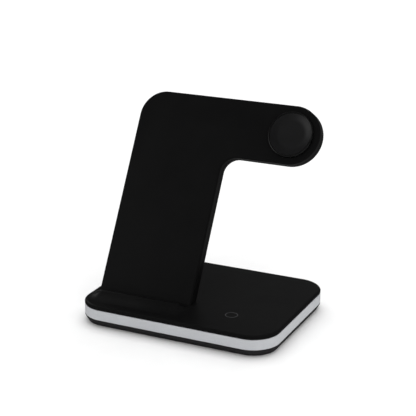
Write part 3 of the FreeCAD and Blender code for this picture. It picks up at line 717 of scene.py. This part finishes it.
# four stuck-on feet
foot = {"radius": 5.5 * mm, "round": 0.18 * mm, "grooveRadius": 3.9 * mm, "grooveWidth": 0.5 * mm,
        "grooveDepth": 0.22 * mm, "steps": 64}


def footTree():
    tree, given, put = startTree("fourFeet", {"Spread X": "Float", "Spread Y": "Float", "Foot": "Object"})
    grid = addNode(tree, "GeometryNodeMeshGrid", {
        "Vertices X": 2, "Vertices Y": 2,
        "Size X": given.outputs["Spread X"], "Size Y": given.outputs["Spread Y"]})
    blank = addNode(tree, "GeometryNodeObjectInfo", {"Object": given.outputs["Foot"]})
    place = addNode(tree, "GeometryNodeInstanceOnPoints", {
        "Points": grid.outputs["Mesh"], "Instance": blank.outputs["Geometry"]})
    return endTree(tree, given, put, place.outputs["Instances"])


def makeFeet():
    low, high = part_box("rubber_feet")
    profile = [(0, 0), (foot["grooveRadius"] - foot["grooveWidth"], 0),
               (foot["grooveRadius"] - foot["grooveWidth"] / 2, foot["grooveDepth"]),
               (foot["grooveRadius"], 0), (foot["radius"] - foot["round"], 0),
               (foot["radius"], foot["round"]), (foot["radius"], high.z), (0, high.z)]
    blank = toObject(lathe(profile, foot["steps"]), "footBlank")
    made = growPiece("rubberFeet", footTree(), {
        "Spread X": high.x - low.x - 2 * foot["radius"], "Spread Y": high.y - low.y - 2 * foot["radius"],
        "Foot": blank, "Finish": finishes["footRubber"]})
    bpy.data.objects.remove(blank, do_unlink=True)
    return smoothOff(made)


dress(makeFeet(), finishes["footRubber"], "foot_rubber", "rubber_feet")

# power inlet at the back
inlet = {"width": 8.94 * mm, "height": 3.26 * mm, "wall": 0.3 * mm, "lip": 0.1 * mm, "bezelWall": 1.1 * mm,
         "bezelRound": 0.35 * mm, "tongue": 0.7 * mm, "contacts": 12, "pitch": 0.5 * mm,
         "contactWidth": 0.26 * mm, "contactLength": 3.4 * mm, "contactSetBack": 0.5 * mm,
         "contactProud": 0.03 * mm}


def slotBand(name, width, height, wall, y0, y1, soften):  # a tube of slot section with a softened mouth
    section = [(0, y0), (0, y1 - soften), (-soften, y1),
               (soften - wall, y1), (-wall, y1 - soften), (-wall, y0)]
    rings = [slotRing(width + 2 * grow, height + 2 * grow, y) for grow, y in section]
    return smoothOff(toObject(loft(rings, closed=True), name))


def makeInletShell():
    low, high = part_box("inlet_shell")
    return slotBand("inletShell", inlet["width"], inlet["height"], inlet["wall"], low.y, high.y,
                    inlet["lip"])


def makeInletBezel():
    low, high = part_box("inlet_bezel")
    return slotBand("inletBezel", high.x - low.x, high.z - low.z, inlet["bezelWall"], low.y, high.y,
                    inlet["bezelRound"])


def contactTree():  # a row of contacts on each side of the tongue
    tree, given, put = startTree("inletContacts", {
        "Count": "Int", "Pitch": "Float", "Size": "Vector", "Start": "Vector", "Thick": "Float"})
    step = addNode(tree, "ShaderNodeCombineXYZ", {"X": given.outputs["Pitch"]})
    rowLine = addNode(tree, "GeometryNodeMeshLine", {
        "Count": given.outputs["Count"], "Start Location": given.outputs["Start"],
        "Offset": step.outputs["Vector"]})
    pad = addNode(tree, "GeometryNodeMeshCube", {"Size": given.outputs["Size"]})
    place = addNode(tree, "GeometryNodeInstanceOnPoints", {
        "Points": rowLine.outputs["Mesh"], "Instance": pad.outputs["Mesh"]})
    drop = addNode(tree, "ShaderNodeCombineXYZ", {
        "Z": mathNode(tree, "MULTIPLY", given.outputs["Thick"], -1.0)})
    lower = addNode(tree, "GeometryNodeTransform", {
        "Geometry": place.outputs["Instances"], "Translation": drop.outputs["Vector"]})
    both = addNode(tree, "GeometryNodeJoinGeometry", {"Geometry": place.outputs["Instances"]})
    tree.links.new(lower.outputs["Geometry"], both.inputs["Geometry"])
    return endTree(tree, given, put, both.outputs["Geometry"])


def makeContacts():
    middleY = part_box("inlet_core")[1].y - inlet["contactSetBack"] - inlet["contactLength"] / 2
    return smoothOff(growPiece("inletContacts", contactTree(), {
        "Count": inlet["contacts"], "Pitch": inlet["pitch"], "Thick": inlet["tongue"],
        "Size": (inlet["contactWidth"], inlet["contactLength"], 2 * inlet["contactProud"]),
        "Start": (-inlet["pitch"] * (inlet["contacts"] - 1) / 2, middleY, bandMid + inlet["tongue"] / 2),
        "Finish": finishes["contactGold"]}))


dress(makeInletShell(), finishes["inletSteel"], "inlet_steel", "inlet_shell")
dress(makeInletBezel(), finishes["inletBlack"], "inlet_black", "inlet_bezel")
dress(makeContacts(), finishes["contactGold"], "inlet_steel")
print("feet and inlet made")

# wound coils
winding = {"stepsPerTurn": 72, "wireSides": 8, "sharp": 50.0}
coils = {
    "plateCoil": {"node": "plate_coil", "inner": 10.0 * mm, "outer": 22.0 * mm, "thick": 1.1 * mm,
                  "turns": 10.0, "turn": leanBack},
    "puckCoil": {"node": "puck_coil", "inner": 6.0 * mm, "outer": 12.3 * mm, "thick": 1.2 * mm,
                 "turns": 5.0, "turn": leanBack},
    "deckCoil": {"node": "deck_coil", "inner": 7.5 * mm, "outer": 16.0 * mm, "thick": 1.2 * mm,
                 "turns": 7.0, "turn": Matrix()},
}


def windingTree():
    tree, given, put = startTree("flatWinding", {
        "Turns": "Float", "Inner": "Float", "Outer": "Float", "Wire": "Float"})
    spiral = addNode(tree, "GeometryNodeCurveSpiral", {
        "Resolution": winding["stepsPerTurn"], "Rotations": given.outputs["Turns"], "Height": 0.0,
        "Start Radius": given.outputs["Inner"], "End Radius": given.outputs["Outer"]})
    wire = addNode(tree, "GeometryNodeCurvePrimitiveCircle", {
        "Resolution": winding["wireSides"], "Radius": given.outputs["Wire"]})
    sweep = addNode(tree, "GeometryNodeCurveToMesh", {
        "Curve": spiral.outputs["Curve"], "Profile Curve": wire.outputs["Curve"], "Fill Caps": True})
    return endTree(tree, given, put, sweep.outputs["Mesh"])


flatWinding = windingTree()
for name, coil in coils.items():
    wire = coil["thick"] / 2
    made = growPiece(name, flatWinding, {
        "Turns": coil["turns"], "Inner": coil["inner"] + wire, "Outer": coil["outer"] - wire,
        "Wire": wire, "Finish": finishes["copperWire"]})
    made.data.transform(Matrix.Translation(middleOf(coil["node"])) @ coil["turn"])
    dress(smoothOff(made, winding["sharp"]), finishes["copperWire"], "coil_copper", coil["node"])
print("coils wound")

# solids that show as they are
plainNodes = {
    "plate_shield": "ferriteGrey", "puck_shield": "ferriteGrey", "deck_shield": "ferriteGrey",
    "coil_carrier": "carrierPlastic", "puck_magnet": "magnetNickel", "touch_pad": "touchFoil",
    "lamp_strips": "stripWhite", "lamps": "lampYellow", "main_board": "boardGreen",
    "driver_chips": "chipBlack", "power_chokes": "chokeGrey", "tank_capacitors": "capacitorTan",
    "wire_sockets": "socketWhite", "inlet_core": "inletBlack", "plate_lead": "leadGrey",
    "puck_lead": "leadGrey", "deck_lead": "leadGrey", "touch_lead": "leadGrey",
}
for node, finishName in plainNodes.items():
    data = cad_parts[node].data
    data.materials.clear()
    data.materials.append(finishes[finishName])
print("plain solids finished:", len(plainNodes))

# floor, light and camera
floorLook = {"dark": (0.90, 0.90, 0.90), "light": (0.94, 0.94, 0.94), "rough": (0.7, 0.8),
             "grain": 60.0, "patch": 2.0, "bump": 0.02, "sockets": {"Specular IOR Level": 0.1}}
studio = {"floorSize": 12.0, "floorThick": 0.02, "floorMirrored": 0.2, "dome": 0.74, "glossDome": 0.045,
          "seen": 1.1}
floorHalf = (studio["floorSize"], studio["floorSize"])
floor = block("studioFloor", (0, 0), floorHalf, -studio["floorThick"], 0.0)
floor.data.materials.append(makeFinish("paleFloor", floorLook))


def dimMirroredFloor(tree):  # black skins pick up less of the white floor than the eye does
    shader = tree.nodes["Principled BSDF"]
    tone = shader.inputs["Base Color"].links[0].from_socket
    path = tree.nodes.new("ShaderNodeLightPath")
    loss = mathNode(tree, "MULTIPLY", path.outputs["Is Glossy Ray"], studio["floorMirrored"] - 1)
    scale = addNode(tree, "ShaderNodeVectorMath", {
        "Vector": tone, "Scale": mathNode(tree, "ADD", loss, 1.0)}, operation="SCALE")
    tree.links.new(scale.outputs["Vector"], shader.inputs["Base Color"])


dimMirroredFloor(floor.data.materials[0].node_tree)


def lightDome():  # white sweep for the eye and the floor, darker for what glossy skins mirror
    world = bpy.data.worlds.new("softDome")
    bpy.context.scene.world = world
    world.use_nodes = True
    tree = world.node_tree
    path = tree.nodes.new("ShaderNodeLightPath")
    glossy = mathNode(tree, "MULTIPLY", path.outputs["Is Glossy Ray"], studio["glossDome"] - studio["dome"])
    seen = mathNode(tree, "MULTIPLY", path.outputs["Is Camera Ray"], studio["seen"] - studio["dome"])
    strength = mathNode(tree, "ADD", mathNode(tree, "ADD", glossy, seen), studio["dome"])
    sky = tree.nodes["Background"]
    sky.inputs["Color"].default_value = (1, 1, 1, 1)
    tree.links.new(strength, sky.inputs["Strength"])


softSuns = {
    "backLight": {"from": (-0.30, 0.95, 1.3), "spread": 75.0, "strength": 1.55},
    "frontFill": {"from": (1.20, -0.35, 1.0), "spread": 80.0, "strength": 0.40},
}
softPanels = {
    "deckSheen": {"from": (-0.24, 1.37, 0.62), "size": (0.9, 0.5), "power": 0.25},
    "overhead": {"from": (-0.20, 0.78, 1.15), "size": (1.7, 0.5), "power": 0.3},
    "plateSheen": {"from": (-1.05, -0.85, 0.50), "size": (0.8, 0.8), "power": 2.4},
    "ridgeSpark": {"from": (-1.05, 0.74, 0.78), "size": (0.15, 0.15), "power": 0.9},
}


def aim(made, place, target):
    made.location = place
    made.rotation_euler = (Vector(target) - Vector(place)).to_track_quat("-Z", "Y").to_euler()


def addLight(name, kind, place):
    made = addObject(name, bpy.data.lights.new(name, kind))
    aim(made, place, (0, 0, 0))
    return made


lightDome()
for name, sun in softSuns.items():  # wide even light, not mirrored in the black skins
    made = addLight(name, "SUN", sun["from"])
    made.data.angle = math.radians(sun["spread"])
    made.data.energy = sun["strength"]
    made.visible_glossy = False
for name, panel in softPanels.items():  # only a sheen on edges, ledge, plate and deck
    made = addLight(name, "AREA", panel["from"])
    made.data.shape = "RECTANGLE"
    made.data.size, made.data.size_y = panel["size"]
    made.data.energy = panel["power"]
    made.visible_diffuse = False
    made.visible_camera = False

shot = {"from": (0.34065, -0.70606, 0.33982), "to": (0.003076, 0.0, 0.074618), "lens": 109.3,
        "sensor": 36.0, "clipStart": 0.01}
camera = addObject("photoView", bpy.data.cameras.new("photoView"))
camera.data.lens = shot["lens"]
camera.data.sensor_width = shot["sensor"]
camera.data.clip_start = shot["clipStart"]
aim(camera, shot["from"], shot["to"])
bpy.context.scene.camera = camera
bpy.context.scene.view_settings.view_transform = "Standard"
print("studio set")
